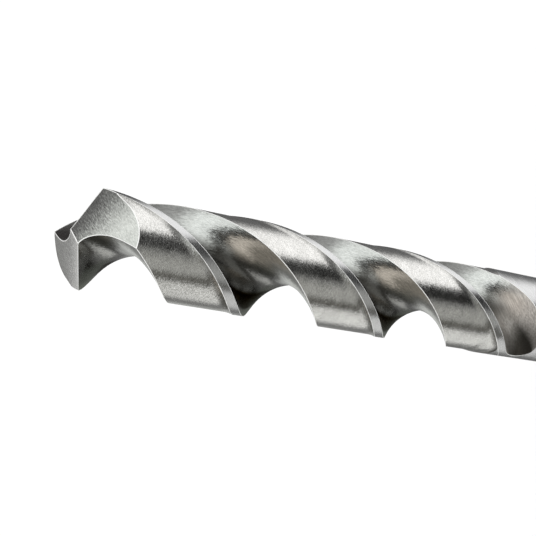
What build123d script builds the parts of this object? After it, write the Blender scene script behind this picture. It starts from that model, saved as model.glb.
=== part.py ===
from build123d import *
import math
import os

# Twist drill bit, two flutes, right hand, ground from one bar of tool steel.
# Millimetres. +Z runs from the flat end of the shank to the point, and the
# origin is the centre of the shank's end face. +X runs along the cutting lips.

# ---------------------------------------------------------------- dimensions
diameter = 9.0              # over the margins at the outer corners
back_taper = 0.03           # how much the margins lose in diameter from the corners to the shank
shank_length = 43.0         # plain cylinder below the flutes, of the tapered-down diameter
overall_length = 125.0      # shank end to the chisel edge
point_angle = 118.0         # between the two lips
helix_lead = 52.94          # one full turn of the flutes
web_at_point = 1.218        # thickness of the core between the two lips
chisel_half_x = 0.393       # half of the chisel edge, measured along the lips
margin_width = 0.949        # the full-diameter strip behind each flute's leading edge
clearance_depth = 0.150     # the body clearance behind the margin
clearance_fillet = 0.90     # width of the hollow fillet from the clearance up to the margin
clearance_end = 73.2        # where the body clearance stops, behind the outer corners
clearance_corner = 1.58     # rounding of that end beside the margin
flute_straight = 73.6       # where the grinding wheel starts to lift out, behind the corners
flute_exit_radius = 6.3     # the arc on which it lifts out
web_shift_x = 0.0118        # sideways drift of the flute for each mm of depth behind the corners,
web_shift_y = 0.0020        # which thickens the core towards the shank
shank_chamfer = 0.5         # on the flat end

# The flanks are cone-ground: each is part of a cone whose apex lies on its own
# lip produced past the axis, so the lip is one straight line of the cone.
cone_apex_distance = 14.90  # from the inner end of the lip
cone_half_angle = 43.73
cone_tilt = -16.77          # of the cone's axis about the lip

# Heel side of the flute's cross-section, in the plane of the outer corners:
# radius in mm and angle in degrees from +X, from the core out to the heel.
heel_side = [
    (1.0793, 100.41), (1.4405, 106.85), (1.7823, 109.22), (2.1195, 109.86), (2.4605, 109.48),
    (2.8123, 108.48), (3.1645, 107.29), (3.5292, 106.23), (3.8931, 105.47), (4.3495, 104.90),
    (4.7699, 104.58), (5.4001, 104.22), (6.0752, 103.90),
]
# the rounded bottom of the flute, x and y
core_bend = [(0.623, 0.463), (0.274, 0.629), (0.116, 0.742), (-0.028, 0.874)]

# ------------------------------------------------------------ derived values
R = diameter / 2
kappa = math.radians(point_angle / 2)
corner_x = math.sqrt(R**2 - (web_at_point / 2) ** 2)
lip_height = (corner_x - chisel_half_x) / math.tan(kappa)
corner_z = overall_length - lip_height
lead_angle = math.asin(web_at_point / 2 / R)     # where the leading edge stands
margin_angle = margin_width / R
clearance_radius = R - clearance_depth


def turn(depth):
    """Rotation of the flutes at a depth below the outer corners."""
    return -2 * math.pi * depth / helix_lead


def flute_profile():
    """Flute cross-section in the plane of the outer corners, lip side first.

    The lip side is the section of the helicoid that the straight lip sweeps."""
    pts = []
    for x in (6.20, 5.60, 5.20, 4.815, corner_x, 4.05, 3.60, 3.15, 2.70, 2.25, 1.80, 1.35, 0.99, 0.70):
        rise = (corner_x - x) / math.tan(kappa)
        r = math.hypot(x, web_at_point / 2)
        a = math.atan2(web_at_point / 2, x) - 2 * math.pi * rise / helix_lead
        pts.append((r * math.cos(a), r * math.sin(a)))
    pts += core_bend
    pts += [(r * math.cos(math.radians(a)), r * math.sin(math.radians(a))) for r, a in heel_side]
    return pts


def crossing(pts):
    """Angle at which the lip side meets the drill's diameter."""
    for (x0, y0), (x1, y1) in zip(pts, pts[1:]):
        r0, r1 = math.hypot(x0, y0), math.hypot(x1, y1)
        if r0 >= R > r1:
            t = (r0 - R) / (r0 - r1)
            return math.atan2(y0 + t * (y1 - y0), x0 + t * (x1 - x0))
    raise ValueError("the lip side never meets the diameter")


def flute_section(depth):
    """Flute cross-section at a depth, before the turn of the helix."""
    d = max(depth, 0.0)
    pts = [(x + web_shift_x * d, y + web_shift_y * d) for x, y in flute_profile()]
    k = lead_angle - crossing(pts)                # keeps the leading edge on its helix
    pts = [(x * math.cos(k) - y * math.sin(k), x * math.sin(k) + y * math.cos(k)) for x, y in pts]
    if depth > flute_straight:                    # the wheel lifts out on an arc
        u = depth - flute_straight
        lift = flute_exit_radius - math.sqrt(flute_exit_radius**2 - u**2)
        pts = [(x + lift * math.cos(math.radians(50)), y + lift * math.sin(math.radians(50))) for x, y in pts]
    return pts


def chord_parameters(pts):
    """One set of spline parameters, shared by every section of a cutter."""
    t = [0.0]
    for (x0, y0), (x1, y1) in zip(pts, pts[1:]):
        t.append(t[-1] + math.hypot(x1 - x0, y1 - y0))
    return [v / t[-1] for v in t]


def rotated(pts, angle, z):
    c, s = math.cos(angle), math.sin(angle)
    return [Vector(x * c - y * s, x * s + y * c, z) for x, y in pts]


flute_parameters = chord_parameters(flute_profile())


def flute_wire(depth):
    pts = flute_section(depth)
    far = (1.32 * R, 1.48 * R)
    if depth > flute_straight:
        u = depth - flute_straight
        lift = flute_exit_radius - math.sqrt(flute_exit_radius**2 - u**2)
        far = (far[0] + lift, far[1] + lift)
    p = rotated(pts, turn(depth), corner_z - depth)
    k = rotated([far], turn(depth), corner_z - depth)[0]
    curve = Edge.make_spline(p, parameters=flute_parameters)
    return Wire([curve, Edge.make_line(p[-1], k), Edge.make_line(k, p[0])])


def clearance_r(behind, depth):
    """Radius of the clearance surface at an angle behind the leading edge."""
    d1 = (behind - margin_angle) * R
    end = clearance_end - 0.534 * d1
    d2 = (end - depth) * 0.88
    rc = clearance_corner
    if d1 < rc and d2 < rc:
        d = rc - math.hypot(max(rc - d1, 0), max(rc - d2, 0))
    else:
        d = min(d1, d2)
    g = max(0.0, 1 - d / clearance_fillet) ** 2
    return clearance_radius + clearance_depth * g


clearance_parameters = [0.62 * (i / 24) ** 2 + 0.38 * (i / 24) for i in range(25)]


def clearance_wire(depth):
    """Section of the cutter that grinds the clearance of one land."""
    a0, a1 = margin_angle - 0.13, 1.70 + 0.0030 * max(depth, 0.0)
    pts = []
    for t in clearance_parameters:
        a = a0 + (a1 - a0) * t
        r = clearance_r(a, depth)
        b = lead_angle - a
        pts.append((r * math.cos(b), r * math.sin(b)))
    ro = 1.42 * R
    out = [(ro * math.cos(lead_angle - a1 + (a1 - a0) * i / 3), ro * math.sin(lead_angle - a1 + (a1 - a0) * i / 3))
           for i in range(4)]
    z, w = corner_z - depth, turn(depth)
    p, o = rotated(pts, w, z), rotated(out, w, z)
    ring = [p[-1], *o, p[0]]
    return Wire([Edge.make_spline(p, parameters=clearance_parameters)]
                + [Edge.make_line(a, b) for a, b in zip(ring, ring[1:])])


def steps(a, b, step):
    n = max(1, math.ceil((b - a) / step))
    return [a + (b - a) * i / n for i in range(n + 1)]


# ------------------------------------------------------------------- solids
flute_depths = steps(-3.6, flute_straight, 1.7) + steps(flute_straight, 79.6, 0.5)[1:]
flute_cutter = Solid.make_loft([flute_wire(d) for d in flute_depths])

clearance_depths = steps(-3.6, clearance_end - 6.0, 1.7) + steps(clearance_end - 6.0, clearance_end + 1.0, 0.45)[1:]
clearance_cutter = Solid.make_loft([clearance_wire(d) for d in clearance_depths])

# The bar, with its chamfered flat end on the origin plane. Above the shank it
# widens very slightly to the outer corners, which is the drill's back taper.
shank_radius = R - back_taper / 2
top = overall_length + 2
top_radius = shank_radius + (R - shank_radius) * (top - shank_length) / (corner_z - shank_length)
shank = Cylinder(shank_radius, shank_length, align=(Align.CENTER, Align.CENTER, Align.MIN))
shank = chamfer(shank.edges().filter_by(GeomType.CIRCLE).sort_by(Axis.Z)[0], shank_chamfer)
body = Pos(0, 0, shank_length) * Cone(
    shank_radius, top_radius, top - shank_length, align=(Align.CENTER, Align.CENTER, Align.MIN))
bar = shank + body

# The two flank cones, each holding one straight lip.
lip_in = Vector(chisel_half_x, web_at_point / 2, corner_z + lip_height)
lip_out = Vector(corner_x, web_at_point / 2, corner_z)
along = (lip_out - lip_in).normalized()
side = Vector(0, 1, 0)
normal = along.cross(side).normalized()
if normal.Z < 0:
    normal = normal * -1
tilt, half = math.radians(cone_tilt), math.radians(cone_half_angle)
inward = normal * -math.cos(tilt) + side * -math.sin(tilt)
cone_axis = (along * math.cos(half) + inward * math.sin(half)).normalized()
apex = lip_in - along * cone_apex_distance
cone_length = 230.0
flank_cone = Plane(origin=apex + cone_axis * cone_length, z_dir=cone_axis * -1) * Cone(
    cone_length * math.tan(half), 0, cone_length, align=(Align.CENTER, Align.CENTER, Align.MIN))

drill = bar - clearance_cutter - clearance_cutter.rotate(Axis.Z, 180)
drill = drill - flute_cutter - flute_cutter.rotate(Axis.Z, 180)
drill = drill & flank_cone
drill = drill & flank_cone.rotate(Axis.Z, 180)

twist_drill = drill.solids().sort_by(SortBy.VOLUME)[-1]

os.makedirs("parts", exist_ok=True)
export_step(twist_drill, "parts/twist_drill.step")
print("solids", len(drill.solids()), "volume", round(twist_drill.volume, 2), "valid", twist_drill.is_valid,
      "box", twist_drill.bounding_box())
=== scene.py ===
import math

import bpy
import numpy as np
from mathutils import Matrix, Vector


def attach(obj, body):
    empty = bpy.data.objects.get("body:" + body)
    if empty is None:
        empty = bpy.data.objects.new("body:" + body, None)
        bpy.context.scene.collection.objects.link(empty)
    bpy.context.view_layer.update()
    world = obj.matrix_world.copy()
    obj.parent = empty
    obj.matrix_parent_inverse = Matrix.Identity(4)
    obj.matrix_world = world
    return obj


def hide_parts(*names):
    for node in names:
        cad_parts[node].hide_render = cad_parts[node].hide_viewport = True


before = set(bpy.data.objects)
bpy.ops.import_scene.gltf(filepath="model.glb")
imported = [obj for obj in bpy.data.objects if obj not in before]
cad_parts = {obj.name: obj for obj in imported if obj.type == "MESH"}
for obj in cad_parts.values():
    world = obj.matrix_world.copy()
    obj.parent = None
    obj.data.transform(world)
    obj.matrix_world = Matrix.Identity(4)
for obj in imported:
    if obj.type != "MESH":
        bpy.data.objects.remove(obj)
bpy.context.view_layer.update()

# A two-flute twist drill, standing on its shank. The mesh below repeats the
# drill's own geometry (millimetres, +Z to the point, as in the CAD part) with
# clean rows of quads along every edge, so that the edges can carry a fine
# honed radius and each ground surface its own grain.

# ------------------------------------------------------------- dimensions, mm
DIAMETER = 9.0
BACK_TAPER = 0.03
SHANK_LENGTH = 43.0
OVERALL = 125.0
POINT_ANGLE = 118.0
LEAD = 52.94
WEB = 1.218
CHISEL_X = 0.393
MARGIN = 0.949
CLEARANCE = 0.150
FILLET = 0.90
CLEARANCE_END = 73.2
CORNER = 1.58
STRAIGHT = 73.6
EXIT_RADIUS = 6.3
SHIFT_X = 0.0118
SHIFT_Y = 0.0020
CHAMFER = 0.5
APEX_DISTANCE = 14.90
CONE_HALF = 43.73
CONE_TILT = -16.77
HEEL_SIDE = [
    (1.0793, 100.41), (1.4405, 106.85), (1.7823, 109.22), (2.1195, 109.86), (2.4605, 109.48),
    (2.8123, 108.48), (3.1645, 107.29), (3.5292, 106.23), (3.8931, 105.47), (4.3495, 104.90),
    (4.7699, 104.58), (5.4001, 104.22), (6.0752, 103.90),
]
CORE_BEND = [(0.623, 0.463), (0.274, 0.629), (0.116, 0.742), (-0.028, 0.874)]
EDGE = 0.072                # half width of the honed strip along each edge

R = DIAMETER / 2
KAPPA = math.radians(POINT_ANGLE / 2)
CORNER_X = math.sqrt(R * R - (WEB / 2) ** 2)
LIP_H = (CORNER_X - CHISEL_X) / math.tan(KAPPA)
CORNER_Z = OVERALL - LIP_H
LEAD_ANGLE = math.asin(WEB / 2 / R)
MARGIN_ANGLE = MARGIN / R
SHANK_R = R - BACK_TAPER / 2


def turn(depth):
    return -2 * math.pi * depth / LEAD


def margin_r(depth):
    """Radius over the margins, with the back taper; the plain shank below."""
    z = CORNER_Z - depth
    k = (z - SHANK_LENGTH) / (CORNER_Z - SHANK_LENGTH)
    return SHANK_R + (R - SHANK_R) * np.maximum(k, 0.0)


def profile():
    pts = []
    for x in (6.20, 5.60, 5.20, 4.815, CORNER_X, 4.05, 3.60, 3.15, 2.70, 2.25, 1.80, 1.35, 0.99, 0.70):
        rise = (CORNER_X - x) / math.tan(KAPPA)
        r = math.hypot(x, WEB / 2)
        a = math.atan2(WEB / 2, x) - 2 * math.pi * rise / LEAD
        pts.append((r * math.cos(a), r * math.sin(a)))
    pts += CORE_BEND
    pts += [(r * math.cos(math.radians(a)), r * math.sin(math.radians(a))) for r, a in HEEL_SIDE]
    return np.array(pts)


def cubic(t, y, q):
    """Natural cubic spline through y at parameters t, read at q."""
    n = len(t)
    h = np.diff(t)
    a = np.zeros((n, n))
    b = np.zeros((n, y.shape[1]))
    a[0, 0] = a[-1, -1] = 1.0
    for i in range(1, n - 1):
        a[i, i - 1], a[i, i], a[i, i + 1] = h[i - 1], 2 * (h[i - 1] + h[i]), h[i]
        b[i] = 6 * ((y[i + 1] - y[i]) / h[i] - (y[i] - y[i - 1]) / h[i - 1])
    m = np.linalg.solve(a, b)
    k = np.clip(np.searchsorted(t, q) - 1, 0, n - 2)
    u = (q - t[k])[:, None]
    v = (t[k + 1] - q)[:, None]
    hk = h[k][:, None]
    return (m[k] * v**3 + m[k + 1] * u**3) / (6 * hk) + (y[k] / hk - m[k] * hk / 6) * v + (y[k + 1] / hk - m[k + 1] * hk / 6) * u


PROFILE = profile()
_len = np.concatenate([[0], np.cumsum(np.hypot(*np.diff(PROFILE, axis=0).T))])
CURVE = cubic(_len / _len[-1], PROFILE, np.linspace(0, 1, 2600))


def first_below(r, limit):
    """Index and fraction at which r first drops under limit."""
    i = int(np.nonzero((r[:-1] >= limit) & (r[1:] < limit))[0][0])
    return i, (r[i] - limit) / (r[i] - r[i + 1])


def flute_curve(depth):
    d = max(depth, 0.0)
    p = CURVE + np.array([SHIFT_X * d, SHIFT_Y * d])
    r = np.hypot(p[:, 0], p[:, 1])
    i, t = first_below(r, R)
    c = p[i] + t * (p[i + 1] - p[i])
    k = LEAD_ANGLE - math.atan2(c[1], c[0])
    co, si = math.cos(k), math.sin(k)
    p = p @ np.array([[co, si], [-si, co]])
    if depth > STRAIGHT:
        u = depth - STRAIGHT
        lift = EXIT_RADIUS - math.sqrt(max(EXIT_RADIUS**2 - u * u, 0.0))
        p = p + lift * np.array([math.cos(math.radians(50)), math.sin(math.radians(50))])
    return p


def clearance_r(behind, depth):
    d1 = (behind - MARGIN_ANGLE) * R
    end = CLEARANCE_END - 0.534 * d1
    d2 = (end - depth) * 0.88
    rounded = CORNER - np.hypot(np.maximum(CORNER - d1, 0), np.maximum(CORNER - d2, 0))
    d = np.where((d1 < CORNER) & (d2 < CORNER), rounded, np.minimum(d1, d2))
    g = np.maximum(0.0, 1 - d / FILLET) ** 2
    return R - CLEARANCE + CLEARANCE * g


def land_r(behind, depth):
    return np.minimum(margin_r(depth), clearance_r(behind, depth))


def clearance_stop(behind):
    """Depth at which the clearance ends, at an angle behind the leading edge."""
    d1 = np.maximum((behind - MARGIN_ANGLE) * R, 0.0)
    end = CLEARANCE_END - 0.534 * d1
    d2 = np.where(d1 < CORNER, CORNER - np.sqrt(np.maximum(CORNER**2 - (CORNER - d1) ** 2, 0)), 0.0)
    return end - d2 / 0.88


# -------------------------------------------------------- columns of the mesh
N_LIP = 34                  # flute columns from the leading edge to the chisel end
N_HEEL = 34                 # and from there to the heel
FILLET_STEPS = np.array([0.90, 0.74, 0.59, 0.46, 0.35, 0.255, 0.175, 0.105, EDGE])
N_LAND = 26


def flute_columns(depth, g):
    """Flute points at a depth, from the leading edge (g = 0) to the heel (g = 1), not yet turned."""
    p = flute_curve(depth)
    r = np.hypot(p[:, 0], p[:, 1])
    a = np.arctan2(p[:, 1], p[:, 0])
    i0, t0 = None, 0
    rm = float(margin_r(depth))
    low = np.nonzero(r < rm)[0]
    if len(low) < 3:
        k = int(np.argmin(r))
        q = np.array([math.cos(a[k]), math.sin(a[k])]) * rm
        return np.repeat(q[None], len(g), 0), a[k], a[k]
    i0 = low[0] - 1
    t0 = (r[i0] - rm) / (r[i0] - r[i0 + 1])
    first = p[i0] + t0 * (p[i0 + 1] - p[i0])
    behind = LEAD_ANGLE + math.pi - a
    out = np.where(np.arange(len(r)) < len(r) * 0.45, rm, land_r(behind, depth))
    low = np.nonzero(r < out)[0]
    i1 = low[-1]
    da, db = r[i1] - out[i1], r[i1 + 1] - out[i1 + 1]
    t1 = da / (da - db)
    last = p[i1] + t1 * (p[i1 + 1] - p[i1])
    q = np.vstack([first, p[i0 + 1 : i1 + 1], last])
    L = np.concatenate([[0], np.cumsum(np.hypot(*np.diff(q, axis=0).T))])
    e = min(EDGE, 0.12 * L[-1])
    pos = np.where(g < 0, 0, np.where(g > 1, L[-1], e + (L[-1] - 2 * e) * g))
    f = np.stack([np.interp(pos, L, q[:, 0]), np.interp(pos, L, q[:, 1])], -1)
    return f, math.atan2(first[1], first[0]), math.atan2(last[1], last[0])


def land_columns(depth, lead, heel):
    """Angles of the land's columns between the heel and the next leading edge, both left out."""
    stop = LEAD_ANGLE + math.pi - MARGIN_ANGLE
    e = EDGE / R
    top = stop - FILLET_STEPS[0] / R
    body = np.linspace(heel + e, top, N_LAND + 1)
    rest = stop - FILLET_STEPS[1:] / R
    m = np.linspace(stop + e, lead + math.pi - e, 6)
    return np.concatenate([body, rest, [stop], m])


N_BODY = N_LAND + 1
I_STOP = N_BODY + len(FILLET_STEPS) - 1          # place of the margin step among the land columns
N_LANDCOL = I_STOP + 1 + 6


def half_section(depth, g):
    """One half of the cross-section: points, not yet turned."""
    f, lead, heel = flute_columns(depth, g)
    th = land_columns(depth, lead, heel)
    rr = land_r(LEAD_ANGLE + math.pi - th, depth)
    rr = np.where(np.arange(len(th)) >= I_STOP, margin_r(depth), rr)
    return f, th, rr


# -------------------------------------------------------------- flank cones
lip_in = np.array([CHISEL_X, WEB / 2, LIP_H])     # z from the plane of the corners
lip_out = np.array([CORNER_X, WEB / 2, 0.0])
along = (lip_out - lip_in) / np.linalg.norm(lip_out - lip_in)
side = np.array([0.0, 1.0, 0.0])
normal = np.cross(along, side)
normal = normal / np.linalg.norm(normal) * (1 if normal[2] > 0 else -1)
tilt, half = math.radians(CONE_TILT), math.radians(CONE_HALF)
inward = normal * -math.cos(tilt) + side * -math.sin(tilt)
axis = along * math.cos(half) + inward * math.sin(half)
apex = lip_in - along * APEX_DISTANCE


def cone_z(x, y):
    c2 = math.cos(half) ** 2
    dx, dy = x - apex[0], y - apex[1]
    k = dx * axis[0] + dy * axis[1]
    a2, b2, q2 = axis[2] ** 2 - c2, k * axis[2], k * k - c2 * (dx * dx + dy * dy)
    root = np.sqrt(np.maximum(b2 * b2 - a2 * q2, 1e-12))
    r1, r2 = (-b2 + root) / a2, (-b2 - root) / a2
    ok1, ok2 = (k + r1 * axis[2]) > 0, (k + r2 * axis[2]) > 0
    z1, z2 = apex[2] + r1, apex[2] + r2
    return np.where(ok1 & ok2, np.maximum(z1, z2), np.where(ok1, z1, np.where(ok2, z2, 9.0)))


def flank_z(x, y):
    return np.minimum(cone_z(x, y), cone_z(-x, -y))


def turned(xy, angle):
    c, s = np.cos(angle), np.sin(angle)
    return np.stack([xy[..., 0] * c - xy[..., 1] * s, xy[..., 0] * s + xy[..., 1] * c], -1)


def tips(table_s, table_xy):
    """Depth at which each column leaves the body through the flanks."""
    xy = turned(table_xy, turn(table_s)[:, None])
    f = flank_z(xy[..., 0], xy[..., 1]) + table_s[:, None]
    out = np.zeros(f.shape[1])
    for c in range(f.shape[1]):
        k = len(table_s) - 1
        while k > 0 and f[k - 1, c] > 0:
            k -= 1
        a, b = f[k - 1, c], f[k, c]
        out[c] = table_s[k - 1] + (table_s[k] - table_s[k - 1]) * (-a) / (b - a)
    return out


def at_depth(table_s, table, depth):
    """The table's columns, each read at its own depth."""
    k = np.clip(np.searchsorted(table_s, depth) - 1, 0, len(table_s) - 2)
    t = (depth - table_s[k]) / (table_s[k + 1] - table_s[k])
    c = np.arange(table.shape[1])
    if table.ndim == 3:
        t = t[:, None]
    return table[k, c] * (1 - t) + table[k + 1, c] * t


# where the flute's edge passes from one flank to the other: the chisel's end
tip_s = np.arange(-2.9, 4.2, 0.02)
probe = np.linspace(0, 1, 1501)
probe_xy = np.array([flute_columns(s, probe)[0] for s in tip_s])
probe_top = tips(tip_s, probe_xy)
pp = turned(at_depth(tip_s, probe_xy, probe_top), turn(probe_top))
diff = cone_z(pp[:, 0], pp[:, 1]) - cone_z(-pp[:, 0], -pp[:, 1])
inner = np.nonzero(np.hypot(pp[:, 0], pp[:, 1]) < 1.4)[0]
cross = [i for i in inner[:-1] if diff[i] <= 0 < diff[i + 1] or diff[i] >= 0 > diff[i + 1]]
i_x = cross[0]
g_star = probe[i_x] + (probe[i_x + 1] - probe[i_x]) * abs(diff[i_x]) / (abs(diff[i_x]) + abs(diff[i_x + 1]))

ease = lambda t, k: 1 - (1 - t) ** k
G = np.concatenate([
    [-1.0],
    g_star * ease(np.linspace(0, 1, N_LIP), 1.45),
    1 - (1 - g_star) * ease(np.linspace(0, 1, N_HEEL), 1.45)[::-1][1:],
    [2.0],
])
I_STAR = N_LIP
N_FLUTE = len(G)
M = N_FLUTE + N_LANDCOL


def columns_at(depths):
    """A full half-ring of points, each column at its own depth. From table for flute, exact for land."""
    f = at_depth(TAB_S, TAB_F, depths[:N_FLUTE])
    th = at_depth(TAB_S, TAB_TH, depths[N_FLUTE:])
    rr = land_r(LEAD_ANGLE + math.pi - th, depths[N_FLUTE:])
    rr = np.where(np.arange(len(th)) >= I_STOP, margin_r(depths[N_FLUTE:]), rr)
    xy = np.concatenate([f, np.stack([rr * np.cos(th), rr * np.sin(th)], -1)])
    xy = turned(xy, turn(depths))
    return np.column_stack([xy, -depths])


TAB_S = np.concatenate([np.arange(-2.9, 4.2, 0.02), np.arange(4.2, 67.5, 0.2), np.arange(67.5, 73.65, 0.03)])
TAB_F, TAB_TH = [], []
for s in TAB_S:
    f, th, rr = half_section(float(s), G)
    TAB_F.append(f)
    TAB_TH.append(th)
TAB_F, TAB_TH = np.array(TAB_F), np.array(TAB_TH)

# depth of each column's upper end
near = TAB_S < 4.2
land_xy = []
for s, th in zip(TAB_S[near], TAB_TH[near]):
    rr = land_r(LEAD_ANGLE + math.pi - th, s)
    rr = np.where(np.arange(len(th)) >= I_STOP, margin_r(s), rr)
    land_xy.append(np.stack([rr * np.cos(th), rr * np.sin(th)], -1))
top_s = tips(TAB_S[near], np.concatenate([TAB_F[near], np.array(land_xy)], axis=1))

# ----------------------------------------------------------------- rows
rows = []
S_C = 4.0
slant = 1.135
q_rows = np.concatenate([[0.0], EDGE / slant / (S_C - top_s.min()) * np.array([1.0]), (np.linspace(0, 1, 16) ** 1.25)[1:]])
for i, q in enumerate(q_rows):
    if i == 1:
        rows.append(top_s + EDGE / slant)
    else:
        rows.append(top_s + (S_C - top_s) * q)
for s in np.linspace(S_C, 67.6, 131)[1:]:
    rows.append(np.full(M, s))
stop_angle = LEAD_ANGLE + math.pi - MARGIN_ANGLE
th70 = TAB_TH[np.searchsorted(TAB_S, 71.0)]
s_land = clearance_stop(LEAD_ANGLE + math.pi - th70)
s_land[I_STOP:] = clearance_stop(np.array([MARGIN_ANGLE]))[0]
s_flute = np.interp(np.arange(N_FLUTE), [0, N_FLUTE - 1], [s_land[-1], s_land[0]])
s_stop = np.concatenate([s_flute, s_land])
for off in (2.2, 1.6, 1.25, 1.02, 0.84, 0.68, 0.53, 0.40, 0.29, 0.19, 0.11, EDGE, 0.0, -EDGE):
    rows.append(s_stop - off)
for q in (0.33, 0.66, 1.0):
    rows.append((s_stop + EDGE) * (1 - q) + 73.62 * q)
grid = [columns_at(r) for r in rows]

# the run-out, where the flute narrows and closes
lo_s, hi_s = 76.0, 82.0
for _ in range(50):
    mid = (lo_s + hi_s) / 2
    r = np.hypot(*flute_curve(mid).T)
    if r.min() < margin_r(mid):
        lo_s = mid
    else:
        hi_s = mid
S_CLOSE = lo_s
N_OUT = 44
out_rows = S_CLOSE - (S_CLOSE - 73.62) * (1 - np.linspace(0, 1, N_OUT + 1)[1:]) ** 1.8
for s in out_rows:
    f, th, rr = half_section(float(s), G)
    if s == out_rows[-1]:
        f = np.repeat(f.mean(0)[None], len(f), 0)
    xy = np.concatenate([f, np.stack([rr * np.cos(th), rr * np.sin(th)], -1)])
    xy = turned(xy, turn(s))
    grid.append(np.column_stack([xy, np.full(M, -s)]))
N_SIDE = len(grid)

# the plain shank, its chamfer and its flat end
last = grid[-1]
ang = np.arctan2(last[:, 1], last[:, 0])
z_close = CORNER_Z - S_CLOSE
ring = [(SHANK_R, z) for z in np.linspace(z_close, CHAMFER + EDGE, 13)[1:]]
c7 = EDGE * 0.7071
ring += [(SHANK_R, CHAMFER), (SHANK_R - c7, CHAMFER - c7), (SHANK_R - CHAMFER / 2, CHAMFER / 2),
         (SHANK_R - CHAMFER + c7, c7), (SHANK_R - CHAMFER, 0.0), (SHANK_R - CHAMFER - EDGE, 0.0),
         (3.2, 0.0), (2.4, 0.0), (1.6, 0.0), (0.8, 0.0)]
for r, z in ring:
    grid.append(np.column_stack([r * np.cos(ang), r * np.sin(ang), np.full(M, z - CORNER_Z)]))
grid = np.array(grid)
NR = len(grid)

flip = np.array([-1.0, -1.0, 1.0])
verts = np.concatenate([grid, grid * flip], axis=1)         # rows, 2M
NC = verts.shape[1]
col_zone = np.concatenate([np.full(N_FLUTE - 1, 0), np.full(I_STOP + 1, 1), np.full(N_LANDCOL - I_STOP, 2)])
col_zone = np.concatenate([col_zone, col_zone])             # zone of the face between column c and c + 1
col_strip = np.zeros(NC, bool)
for b in (0, M):
    for c in (0, N_FLUTE - 2, N_FLUTE - 1, N_FLUTE + I_STOP - 1, N_FLUTE + I_STOP, M - 1):
        col_strip[(b + c) % NC] = True

# painted shade: how far the surface's colour is darkened to stand in for shade and dark reflections, most on the rake
# side of the flute, below the leading edge, and in the closing run-out; a little in the hollow fillet beside the
# margin
ease3 = lambda q: np.clip(q, 0, 1) ** 2 * (3 - 2 * np.clip(q, 0, 1))
g_rad = np.hypot(verts[..., 0], verts[..., 1])
g_dep = -verts[..., 2]
g_col = np.tile(np.arange(M), 2)[None, :]
g_exit = ease3((g_dep - 69.5) / 4.5)
rake = 1 - ease3((g_col - I_STAR - 4) / (9.0 + 12.0 * g_exit))
closing = ease3((g_dep - 73.6) / 3.0)
rake_shade = np.maximum(ease3((4.46 - g_rad) / 0.75) * (1 - 0.17 * ease3((2.6 - g_rad) / 0.9)), closing) * (0.78 + 0.22 * ease3((g_dep - 2.5) / 4.0))
rake_shade = rake_shade * (1 - 0.45 * ease3((g_dep - 71.5) / 2.5) * (1 - ease3((g_dep - 75.0) / 3.0)))
heel_shade = np.maximum(0.83 * ease3((2.45 - g_rad) / 1.3), 0.70 * ease3((g_dep - 76.0) / 3.0))
fillet_at = N_FLUTE + I_STOP - g_col
near_end = ease3((g_dep - 69.5) / 3.0)
fillet_shade = (0.30 + 0.70 * near_end) * ease3(1 - fillet_at / (len(FILLET_STEPS) + 0.5 + 7.0 * near_end))
grid_painted_shade = np.where(g_col < N_FLUTE, rake * rake_shade + (1 - rake) * heel_shade,
                     np.where((g_col < N_FLUTE + I_STOP) & (g_dep < 73.2), fillet_shade, 0.0))
grid_exit = np.where(g_col < N_FLUTE, g_exit, 0.0)
# strength of the painted edge highlight on each row and column: faint on the margin's step, hardly any at the
# clearance's end
grid_glint = np.ones((NR, NC))
grid_glint[:, (g_col == N_FLUTE + I_STOP)[0]] = 0.42          # the margin's step is only a faint crease
for b in (0, M):                                             # and the clearance's end hardly shows
    grid_glint[len(rows) - 6 : len(rows) - 3, b + N_FLUTE + 1 : b + N_FLUTE + I_STOP] = 0.12
grid_glint[:, (g_col == 0)[0]] = 0.62

ids = np.arange(NR * NC).reshape(NR, NC)
points = [verts.reshape(-1, 3)]
faces, mats, strips = [], [], []
i_stop_row = [i for i, r in enumerate(rows) if r is rows[-4 - 0]][0]
stop_row = len(rows) - 5                                     # the row lying on the clearance's end
for i in range(NR - 1):
    for c in range(NC):
        d = (c + 1) % NC
        faces.append((ids[i, c], ids[i + 1, c], ids[i + 1, d], ids[i, d]))
        z = col_zone[c]
        if i >= N_SIDE - 1:
            z = 3
        elif i >= stop_row and z == 1:
            z = 2
        mats.append(z)
        s = bool(col_strip[c]) and i < N_SIDE - 1
        s = s or i == 0 or (i in (stop_row - 1, stop_row) and col_zone[c] == 1)
        s = s or i in (N_SIDE + 11, N_SIDE + 12, N_SIDE + 14, N_SIDE + 15)
        strips.append(s)
# closing disc of the end
centre = NR * NC
points.append(np.array([[0, 0, -CORNER_Z]]))
for c in range(NC):
    faces.append((ids[NR - 1, c], centre, ids[NR - 1, (c + 1) % NC]))
    mats.append(3)
    strips.append(False)
count = centre + 1

# ------------------------------------------------------- the two flank facets
rim1 = verts[0, M + N_FLUTE - 1 : 2 * M]                    # land 1 from its heel on
rim1 = np.vstack([rim1, verts[0, 0]])[::-1]                 # leading edge first
lip = verts[0, : I_STAR + 1][::-1]                          # chisel end first
back = verts[0, M + I_STAR : M + N_FLUTE]                   # the other flute: chisel end first, then out to the heel
n_v = len(rim1)
a_end, b_end = lip[0][:2], back[0][:2]


def chisel_point(t):
    """Where both flanks are equally high, on the way from one chisel end to the other."""
    base = a_end * (1 - t) + b_end * t
    d = (b_end - a_end) / np.linalg.norm(b_end - a_end)
    n = np.array([-d[1], d[0]])
    lo, hi = -0.2, 0.2
    f = lambda o: float(cone_z(*(base + n * o)) - cone_z(*(-(base + n * o))))
    flo = f(lo)
    for _ in range(50):
        mid = (lo + hi) / 2
        if (f(mid) > 0) == (flo > 0):
            lo = mid
        else:
            hi = mid
    return base + n * lo


e_c = EDGE / np.linalg.norm(b_end - a_end)
ts = np.concatenate([[0], np.linspace(e_c, 1 - e_c, n_v - 2), [1]])
chis = np.array([a_end if t == 0 else b_end if t == 1 else chisel_point(t) for t in ts])
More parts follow.
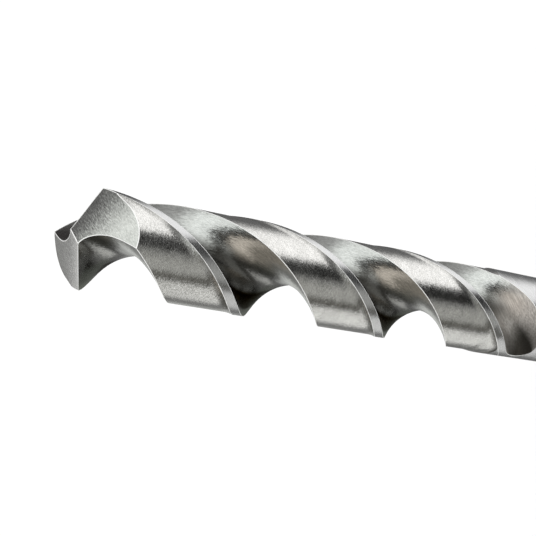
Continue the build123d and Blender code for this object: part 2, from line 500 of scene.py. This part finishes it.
# symmetric about the axis, so that both facets share its points
chis = (chis - chis[::-1]) / 2


def coons(a, b, c, d):
    """a: v = 0, b: v = 1 (along t); c: t = 0, d: t = 1 (along v)."""
    ta = np.concatenate([[0], np.cumsum(np.hypot(*np.diff(a, axis=0).T))]); ta = ta / ta[-1]
    tb = np.concatenate([[0], np.cumsum(np.hypot(*np.diff(b, axis=0).T))]); tb = tb / tb[-1]
    vc = np.concatenate([[0], np.cumsum(np.hypot(*np.diff(c, axis=0).T))]); vc = vc / vc[-1]
    vd = np.concatenate([[0], np.cumsum(np.hypot(*np.diff(d, axis=0).T))]); vd = vd / vd[-1]
    out = np.zeros((len(a), len(c), 2))
    for i in range(len(a)):
        for j in range(len(c)):
            v0, v1 = vc[j], vd[j]
            t0, t1 = ta[i], tb[i]
            v = v0 * (1 - t0) + v1 * t0
            t = t0 * (1 - v) + t1 * v
            v = v0 * (1 - t) + v1 * t
            p = (1 - v) * a[i] + v * b[i] + (1 - t) * c[j] + t * d[j]
            p = p - ((1 - t) * (1 - v) * a[0] + t * (1 - v) * a[-1] + (1 - t) * v * b[0] + t * v * b[-1])
            out[i, j] = p
    return out


patch = coons(lip[:, :2], back[:, :2], chis, rim1[:, :2])
# the strips beside the chisel, the lip, the rim and the flute's edge get their width
patch[1, 1:-1] = patch[0, 1:-1] + (patch[2, 1:-1] - patch[0, 1:-1]) * (EDGE / np.linalg.norm(patch[2, 1:-1] - patch[0, 1:-1], axis=1))[:, None]
patch[-2, 1:-1] = patch[-1, 1:-1] + (patch[-3, 1:-1] - patch[-1, 1:-1]) * (EDGE / np.linalg.norm(patch[-3, 1:-1] - patch[-1, 1:-1], axis=1))[:, None]
patch[1:-1, 1] = patch[1:-1, 0] + (patch[1:-1, 2] - patch[1:-1, 0]) * (EDGE / np.linalg.norm(patch[1:-1, 2] - patch[1:-1, 0], axis=1))[:, None]
patch[1:-1, -2] = patch[1:-1, -1] + (patch[1:-1, -3] - patch[1:-1, -1]) * (EDGE / np.linalg.norm(patch[1:-1, -3] - patch[1:-1, -1], axis=1))[:, None]
pz = cone_z(patch[..., 0], patch[..., 1])
patch = np.concatenate([patch, pz[..., None]], -1)
patch[:, 0] = lip
patch[:, -1] = back
patch[-1] = rim1
nt, nv = patch.shape[:2]
for k in range(2):
    pts = patch * (flip if k else 1)
    base = count
    points.append(pts.reshape(-1, 3))
    count += nt * nv
    for i in range(nt - 1):
        for j in range(nv - 1):
            a = base + i * nv + j
            faces.append((a, a + 1, a + nv + 1, a + nv))
            mats.append(4)
            strips.append(i in (0, nt - 2) or j in (0, nv - 2))

points = np.concatenate(points)
points[:, 2] += CORNER_Z
points *= 0.001

# ----------------------------------------- weld, drop what has collapsed
key = np.round(points / 2e-7).astype(np.int64)
_, first_i, inv = np.unique(key, axis=0, return_index=True, return_inverse=True)
inv = inv.reshape(-1)
points = points[first_i]


def per_point(values, rest):
    out = np.full(len(inv), rest)
    out[: values.size] = values.reshape(-1)
    return out[first_i]


painted_shade, leaving, glint_gain = per_point(grid_painted_shade, 0.0), per_point(grid_exit, 0.0), per_point(grid_glint, 1.0)
clean, cmat, cstrip = [], [], []
for f, m, s in zip(faces, mats, strips):
    g = []
    for v in f:
        w = int(inv[v])
        if not g or g[-1] != w:
            g.append(w)
    if len(g) > 1 and g[0] == g[-1]:
        g.pop()
    if len(g) < 3 or len(set(g)) < len(g):
        continue
    clean.append(g)
    cmat.append(m)
    cstrip.append(s)

# ------------------------------------------------------------ normals
tri_n = np.zeros((len(clean), 3))
for i, g in enumerate(clean):
    p = points[g]
    n = np.zeros(3)
    for a in range(1, len(g) - 1):
        n = n + np.cross(p[a] - p[0], p[a + 1] - p[0])
    tri_n[i] = n / 2
vn = np.zeros_like(points)
vs = np.zeros_like(points)
for i, g in enumerate(clean):
    for v in g:
        vs[v] += tri_n[i] / (np.linalg.norm(tri_n[i]) + 1e-20)
        if not cstrip[i]:
            vn[v] += tri_n[i]
has = np.linalg.norm(vn, axis=1) > 1e-16
# the strip points carry the painted edge highlight
glint_mask = ((~has) * glint_gain).astype(np.float32)
vn = np.where(has[:, None], vn, vs)
vn = vn / (np.linalg.norm(vn, axis=1, keepdims=True) + 1e-20)
# turn everything outward
outward = np.sum(vn * np.column_stack([points[:, 0], points[:, 1], np.zeros(len(points))]), axis=1)
shank_pts = points[:, 2] < 0.03
if outward[shank_pts].sum() < 0:
    vn = -vn
    clean = [g[::-1] for g in clean]

mesh = bpy.data.meshes.new("twist_drill_ground")
mesh.from_pydata(points.tolist(), [], clean)
mesh.update()
mesh.polygons.foreach_set("material_index", cmat)
mesh.polygons.foreach_set("use_smooth", [True] * len(clean))
# this attribute carries the painted edge highlight along the honed edges
at = mesh.attributes.new("honed_glint", "FLOAT", "POINT")
at.data.foreach_set("value", glint_mask)
# the first of these attributes carries the painted shade of the flute's hollows, the run-out and the fillet
for title, values in (("painted_shade", painted_shade), ("leaving", leaving)):
    at = mesh.attributes.new(title, "FLOAT", "POINT")
    at.data.foreach_set("value", values.astype(np.float32))
mesh.normals_split_custom_set_from_vertices([tuple(map(float, n)) for n in vn])
drill = bpy.data.objects.new("drill_ground_surface", mesh)
bpy.context.scene.collection.objects.link(drill)
print("drill mesh", len(points), "points", len(clean), "faces", "edge points", int(glint_mask.sum()))


# =============================================================== materials
def link(tree, a, b):
    tree.links.new(a, b)


def put(tree, socket, value):
    """Set a socket to a number, a tuple, or link another socket to it."""
    if isinstance(value, bpy.types.NodeSocket):
        tree.links.new(value, socket)
    else:
        socket.default_value = value


def maths(tree, op, a, b=None, c=None, clamp=False):
    n = tree.nodes.new("ShaderNodeMath")
    n.operation = op
    n.use_clamp = clamp
    for i, v in enumerate((a, b, c)):
        if v is not None:
            put(tree, n.inputs[i], v)
    return n.outputs[0]


def vec(tree, op, a, b=None, scale=None):
    n = tree.nodes.new("ShaderNodeVectorMath")
    n.operation = op
    put(tree, n.inputs[0], a)
    if b is not None:
        put(tree, n.inputs[1], b)
    if scale is not None:
        put(tree, n.inputs["Scale"], scale)
    return n.outputs["Value"] if op in ("DOT_PRODUCT", "LENGTH") else n.outputs[0]


def span(tree, value, lo, hi, to_lo=0.0, to_hi=1.0, smooth=True):
    n = tree.nodes.new("ShaderNodeMapRange")
    n.interpolation_type = "SMOOTHSTEP" if smooth else "LINEAR"
    n.clamp = True
    for i, v in enumerate((value, lo, hi, to_lo, to_hi)):
        put(tree, n.inputs[i], v)
    return n.outputs[0]


def blend(tree, fac, a, b):
    n = tree.nodes.new("ShaderNodeMix")
    n.data_type = "RGBA"
    n.clamp_factor = True
    put(tree, n.inputs[0], fac)
    put(tree, n.inputs[6], (*a, 1.0) if isinstance(a, tuple) else a)
    put(tree, n.inputs[7], (*b, 1.0) if isinstance(b, tuple) else b)
    return n.outputs[2]


def noise(tree, coords, scale, detail=2.0, rough=0.55, w=None):
    """Noise whose cells are 1 / scale metres along each axis."""
    n = tree.nodes.new("ShaderNodeTexNoise")
    n.noise_dimensions = "3D"
    put(tree, n.inputs["Vector"], vec(tree, "MULTIPLY", coords, scale))
    n.inputs["Scale"].default_value = 1.0
    n.inputs["Detail"].default_value = detail
    n.inputs["Roughness"].default_value = rough
    return n.outputs["Fac"]


HELIX = 2 * math.pi / (LEAD * 0.001)                # turn of the flutes in radians for each metre
GRIND = math.radians(55.6)                          # direction of the grinding marks on the point


def ground_steel(name, marks, dark, light, rough, aniso, scatter, fine, long, bump, edge=1.0, shade_paint=None, leave=None):
    """Ground steel. marks: 'round' (about the axis), 'helix' or 'point' is the way the grinding marks run.
    fine, long: marks per metre across and along them. scatter: how far single marks lean, across and along."""
    m = bpy.data.materials.new(name)
    m.use_nodes = True
    t = m.node_tree
    t.nodes.clear()
    out = t.nodes.new("ShaderNodeOutputMaterial")
    bsdf = t.nodes.new("ShaderNodeBsdfPrincipled")
    link(t, bsdf.outputs[0], out.inputs[0])
    pos = t.nodes.new("ShaderNodeTexCoord").outputs["Object"]
    normal = t.nodes.new("ShaderNodeNewGeometry").outputs["Normal"]

    # coordinates in which the grinding marks lie along the first axes or the last
    if marks == "round":
        coords, size = pos, lambda f, l: (l, l, f)
        across = t.nodes.new("ShaderNodeCombineXYZ")
        across.inputs[2].default_value = 1.0
        across = across.outputs[0]
    elif marks == "helix":
        sep = t.nodes.new("ShaderNodeSeparateXYZ")
        link(t, pos, sep.inputs[0])
        rot = t.nodes.new("ShaderNodeVectorRotate")
        rot.rotation_type = "Z_AXIS"
        link(t, pos, rot.inputs["Vector"])
        link(t, maths(t, "MULTIPLY", sep.outputs[2], -HELIX), rot.inputs["Angle"])
        coords, size = rot.outputs[0], lambda f, l: (f, f, l)
        run = t.nodes.new("ShaderNodeCombineXYZ")
        link(t, maths(t, "MULTIPLY", sep.outputs[1], -HELIX), run.inputs[0])
        link(t, maths(t, "MULTIPLY", sep.outputs[0], HELIX), run.inputs[1])
        run.inputs[2].default_value = 1.0
        across = vec(t, "NORMALIZE", vec(t, "CROSS_PRODUCT", normal, run.outputs[0]))
    else:
        rot = t.nodes.new("ShaderNodeVectorRotate")
        rot.rotation_type = "Z_AXIS"
        link(t, pos, rot.inputs["Vector"])
        rot.inputs["Angle"].default_value = -GRIND
        coords, size = rot.outputs[0], lambda f, l: (l, f, 0.0)
        across = t.nodes.new("ShaderNodeCombineXYZ")
        across.inputs[0].default_value = -math.sin(GRIND)
        across.inputs[1].default_value = math.cos(GRIND)
        across = across.outputs[0]
    along_marks = vec(t, "NORMALIZE", vec(t, "CROSS_PRODUCT", normal, across))

    streak = noise(t, coords, size(fine, long), 2.0, 0.6)
    streak2 = noise(t, vec(t, "ADD", coords, (0.011, 0.017, 0.023)), size(fine * 0.62, long * 0.45), 2.0, 0.55)
    lean_a = noise(t, vec(t, "ADD", coords, (0.031, 0.007, 0.013)), size(fine * 0.8, long), 1.0, 0.5)
    lean_b = noise(t, vec(t, "ADD", coords, (0.005, 0.029, 0.041)), size(fine, long * 0.8), 1.0, 0.5)
    patches = noise(t, pos, (620.0, 620.0, 620.0), 3.0, 0.6)
    grain = noise(t, pos, (11000.0, 11000.0, 11000.0), 1.0, 0.5)

    tone = maths(t, "MULTIPLY_ADD", streak, 0.62, maths(t, "MULTIPLY", streak2, 0.38))
    tone = maths(t, "MULTIPLY_ADD", maths(t, "SUBTRACT", patches, 0.5), 0.30, tone)
    tone = maths(t, "MULTIPLY_ADD", maths(t, "SUBTRACT", grain, 0.5), 0.22, tone)
    colour = blend(t, span(t, tone, 0.28, 0.72, smooth=False), dark, light)
    shade_mask = leaving = None
    if leave is not None:
        # towards the run-out: warmer, with coarse scratches along the wheel's way
        at = t.nodes.new("ShaderNodeAttribute")
        at.attribute_type = "GEOMETRY"
        at.attribute_name = "leaving"
        leaving = at.outputs["Fac"]
        # the wheel's marks run in its own plane, so the way they run is the helix at the full radius
        # everywhere: what stays the same along one is the place less R times the way to the wheel
        turned_by = maths(t, "MULTIPLY_ADD", sep.outputs[2], HELIX, math.radians(50) - HELIX * CORNER_Z * 0.001)
        to_wheel = t.nodes.new("ShaderNodeCombineXYZ")
        link(t, maths(t, "COSINE", turned_by), to_wheel.inputs[0])
        link(t, maths(t, "SINE", turned_by), to_wheel.inputs[1])
        flute_side = maths(t, "SIGN", vec(t, "DOT_PRODUCT", pos, to_wheel.outputs[0]))
        wheel = vec(t, "SUBTRACT", pos, vec(t, "SCALE", to_wheel.outputs[0], scale=maths(t, "MULTIPLY", flute_side, R * 0.001)))
        scratch = noise(t, vec(t, "ADD", wheel, (0.003, 0.019, 0.011)), (6500.0, 6500.0, 240.0), 2.0, 0.6)
        warm = blend(t, span(t, maths(t, "MULTIPLY_ADD", scratch, 0.7, maths(t, "MULTIPLY", streak, 0.3)), 0.39, 0.61, smooth=False), leave[0], leave[1])
        colour = blend(t, leaving, colour, warm)
        tone = maths(t, "MULTIPLY_ADD", maths(t, "MULTIPLY", scratch, leaving), 0.9, tone)
    # painted shade: the colour is darkened towards a given near-black where the mesh's shade attribute is high
    if shade_paint is not None:
        at = t.nodes.new("ShaderNodeAttribute")
        at.attribute_type = "GEOMETRY"
        at.attribute_name = "painted_shade"
        shade_mask = at.outputs["Fac"]
        colour = blend(t, maths(t, "MULTIPLY", shade_mask, shade_paint[0]), colour, shade_paint[1])

    # honed, worn edges with a painted highlight: a near-white, barely metallic line standing in for the glint of their
    # fine radius
    at = t.nodes.new("ShaderNodeAttribute")
    at.attribute_type = "GEOMETRY"
    at.attribute_name = "honed_glint"
    wear_and_glint = span(t, maths(t, "MULTIPLY_ADD", maths(t, "SUBTRACT", patches, 0.5), 0.45, at.outputs["Fac"]), 0.12, 0.42)
    wear_and_glint = maths(t, "MULTIPLY", wear_and_glint, edge)
    colour = blend(t, wear_and_glint, colour, (0.97, 0.97, 0.955))
    put(t, bsdf.inputs["Base Color"], colour)
    metal = span(t, wear_and_glint, 0.0, 1.0, 1.0, 0.12, False)
    if leaving is not None:
        # the coarse scratches of the run-out scatter light, and where the painted shade is deepest the glancing sheen
        # is tinted dark as well, more painted shade
        metal = maths(t, "MULTIPLY", metal, maths(t, "MULTIPLY_ADD", maths(t, "MULTIPLY", leaving, maths(t, "SUBTRACT", 1.0, shade_mask)), -0.38, 1.0))
        put(t, bsdf.inputs["Specular Tint"], blend(t, span(t, shade_mask, 0.84, 1.0), (1.0, 1.0, 1.0), (0.30, 0.285, 0.26)))
    put(t, bsdf.inputs["Metallic"], metal)
    r = span(t, maths(t, "MULTIPLY_ADD", patches, 0.4, maths(t, "MULTIPLY", streak2, 0.6)), 0.3, 0.7, rough * 0.82, rough * 1.2, False)
    r = maths(t, "MULTIPLY_ADD", wear_and_glint, 0.2, r)
    if leaving is not None:
        r = maths(t, "MULTIPLY_ADD", leaving, 0.20, maths(t, "MULTIPLY_ADD", maths(t, "MULTIPLY", leaving, shade_mask), 0.14, r))
    put(t, bsdf.inputs["Roughness"], r)
    bsdf.inputs["Anisotropic"].default_value = aniso
    put(t, bsdf.inputs["Tangent"], across)

    # each mark leans its own way, and has its own depth
    n1 = vec(t, "SCALE", across, scale=maths(t, "MULTIPLY", maths(t, "SUBTRACT", lean_a, 0.5), scatter[0]))
    n2 = vec(t, "SCALE", along_marks, scale=maths(t, "MULTIPLY", maths(t, "SUBTRACT", lean_b, 0.5), scatter[1]))
    leaned = vec(t, "NORMALIZE", vec(t, "ADD", normal, vec(t, "ADD", n1, n2)))
    bp = t.nodes.new("ShaderNodeBump")
    bp.inputs["Strength"].default_value = 1.0
    bp.inputs["Distance"].default_value = bump
    link(t, tone, bp.inputs["Height"])
    link(t, leaned, bp.inputs["Normal"])
    link(t, bp.outputs[0], bsdf.inputs["Normal"])
    return m


mesh.materials.append(ground_steel(
    "steel_flute", "helix", (0.42, 0.425, 0.41), (0.69, 0.695, 0.675), 0.20, 0.4, (0.16, 0.14), 11000.0, 2600.0, 6e-6,
    edge=0.80, shade_paint=(0.965, (0.026, 0.023, 0.018)), leave=((0.60, 0.56, 0.52), (0.97, 0.93, 0.88))))
mesh.materials.append(ground_steel(
    "steel_land", "round", (0.34, 0.34, 0.325), (0.85, 0.845, 0.825), 0.195, 0.4, (0.22, 0.24), 13500.0, 6500.0, 8e-6,
    shade_paint=(0.88, (0.10, 0.095, 0.088))))
mesh.materials.append(ground_steel(
    "steel_margin", "round", (0.50, 0.505, 0.51), (0.61, 0.615, 0.62), 0.25, 0.35, (0.06, 0.07), 12000.0, 3000.0, 3e-6,
    edge=0.9))
mesh.materials.append(ground_steel(
    "steel_shank", "round", (0.46, 0.46, 0.475), (0.60, 0.60, 0.62), 0.21, 0.45, (0.12, 0.12), 10000.0, 2000.0, 3e-6,
    edge=0.8))
mesh.materials.append(ground_steel(
    "steel_point", "point", (0.42, 0.42, 0.41), (0.75, 0.75, 0.73), 0.22, 0.3, (0.17, 0.20), 12000.0, 4200.0, 7e-6))

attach(drill, "root")
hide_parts("twist_drill")

# ================================================================== stage
floor_mesh = bpy.data.meshes.new("floor")
floor_mesh.from_pydata([(-4, -4, 0), (4, -4, 0), (4, 4, 0), (-4, 4, 0)], [], [(0, 1, 2, 3)])
floor = bpy.data.objects.new("floor", floor_mesh)
floor.location = (0, 0, -0.00005)
bpy.context.scene.collection.objects.link(floor)
fm = bpy.data.materials.new("floor_white")
fm.use_nodes = True
fb = fm.node_tree.nodes["Principled BSDF"]
fb.inputs["Base Color"].default_value = (0.93, 0.93, 0.93, 1)
fb.inputs["Roughness"].default_value = 0.9
fb.inputs["Specular IOR Level"].default_value = 0.0
floor_mesh.materials.append(fm)
floor.visible_glossy = False

scene = bpy.context.scene
scene.view_settings.view_transform = "Standard"
world = bpy.data.worlds.new("studio")
scene.world = world
world.use_nodes = True
wn = world.node_tree
wn.nodes.clear()


sep = wn.nodes.new("ShaderNodeSeparateXYZ")
link(wn, wn.nodes.new("ShaderNodeTexCoord").outputs["Generated"], sep.inputs[0])
AZ = maths(wn, "MULTIPLY", maths(wn, "ARCTAN2", sep.outputs[1], sep.outputs[0]), 180 / math.pi)
LOW = maths(wn, "MULTIPLY", maths(wn, "ARCCOSINE", maths(wn, "MULTIPLY", sep.outputs[2], -1.0)), 180 / math.pi)
light = (0.30, 0.30, 0.295)


def window(value, centre, half, soft):
    """1 within half of the centre, falling to 0 over soft."""
    d = maths(wn, "ABSOLUTE", maths(wn, "SUBTRACT", value, centre))
    return span(wn, d, half - soft / 2, half + soft / 2, 1.0, 0.0)


def panel(colour, az, az_half, az_soft, low, low_half, low_soft, skew=0.0):
    """A soft panel or a dark flag of the studio. az: azimuth of its middle; low: angle of its middle from
    straight down; skew: how many degrees of azimuth its middle moves for each degree of low. Degrees."""
    global light
    a = maths(wn, "SUBTRACT", AZ, az)
    if skew:
        a = maths(wn, "MULTIPLY_ADD", maths(wn, "SUBTRACT", LOW, low), -skew, a)
    a = maths(wn, "WRAP", a, 180.0, -180.0)
    mask = window(a, 0.0, az_half, az_soft)
    if low_half < 180:
        mask = maths(wn, "MULTIPLY", mask, window(LOW, low, low_half, low_soft))
    light = blend(wn, mask, light, colour if isinstance(colour, tuple) else (colour, colour, colour))


# a ring of soft boxes and gaps round the drill, low down
RING = (32.0, 14.0, 8.0)
panel(0.15, 90, 55, 40, *RING)                       # the dim side
panel((1.48, 1.47, 1.46), -6, 37, 34, *RING)         # large window
panel((1.20, 1.20, 1.17), -172, 26, 12, 30.5, 5, 4)  # second window
panel((0.12, 0.115, 0.10), -132, 9, 12, *RING)
panel((0.50, 0.50, 0.475), -103, 18, 14, *RING)      # reflector between two flags
panel(0.014, -54, 19, 10, 28, 12, 5)                 # dark flag
# straight below: dark table, a little light on one side
panel((0.012, 0.011, 0.009), 0, 180, 1, 0, 18, 8)
panel((0.16, 0.17, 0.15), 130, 40, 20, 14, 12, 8)
# the band above the ring
panel((0.10, 0.10, 0.088), -172, 42, 24, 46, 9, 6)
panel((1.35, 1.35, 1.33), -34, 11, 9, 52, 6, 6)
panel((0.26, 0.235, 0.20), -150, 50, 20, 70, 20, 8)
panel((0.84, 0.76, 0.67), -150, 16, 20, 65, 13, 18)
panel(0.50, -76, 18, 20, 82, 16, 12)
panel((1.36, 1.40, 1.385), -107, 27, 24, 70, 21, 10, skew=-0.7)
panel((0.15, 0.145, 0.13), -100, 11.5, 8, 50, 13, 10, skew=-1.7)
panel(0.003, -142, 15, 8, 75, 16, 8, skew=-1.7)
# opposite side
panel((0.05, 0.045, 0.045), 48, 24, 16, 57, 14, 10)
panel((0.66, 0.67, 0.65), 124, 15, 14, 40, 8, 8)
panel(1.00, 118, 22, 14, 95, 12, 14)
panel(0.90, -12, 22, 16, 80, 26, 14)
# above
panel((0.12, 0.118, 0.118), 30, 42, 20, 130, 28, 14)
panel((1.15, 1.19, 1.15), -48, 35, 24, 128, 26, 14)

path = wn.nodes.new("ShaderNodeLightPath")
seen = wn.nodes.new("ShaderNodeBackground")
put(wn, seen.inputs[0], light)
seen.inputs[1].default_value = 1.0
plain = wn.nodes.new("ShaderNodeBackground")
plain.inputs[0].default_value = (1, 1, 1, 1)
plain.inputs[1].default_value = 1.15
chosen = wn.nodes.new("ShaderNodeMixShader")
link(wn, path.outputs["Is Glossy Ray"], chosen.inputs[0])
link(wn, plain.outputs[0], chosen.inputs[1])
link(wn, seen.outputs[0], chosen.inputs[2])
link(wn, chosen.outputs[0], wn.nodes.new("ShaderNodeOutputWorld").inputs[0])

# ================================================================= camera
cam_data = bpy.data.cameras.new("camera")
cam = bpy.data.objects.new("camera", cam_data)
scene.collection.objects.link(cam)
cam_data.sensor_width = 36.0
cam_data.lens = 3017.03 / 536 * 36.0
cam_data.clip_start = 0.01
cam_data.clip_end = 20.0
right = Vector((0.3442, -0.7799, -0.5228)).normalized()
forward = Vector((-0.1073, 0.5205, -0.8471)).normalized()
up = right.cross(forward).normalized()
right = forward.cross(up).normalized()
cam.matrix_world = Matrix((
    (right.x, up.x, -forward.x, 0.030355),
    (right.y, up.y, -forward.y, -0.145748),
    (right.z, up.z, -forward.z, 0.331206),
    (0, 0, 0, 1),
))
scene.camera = cam
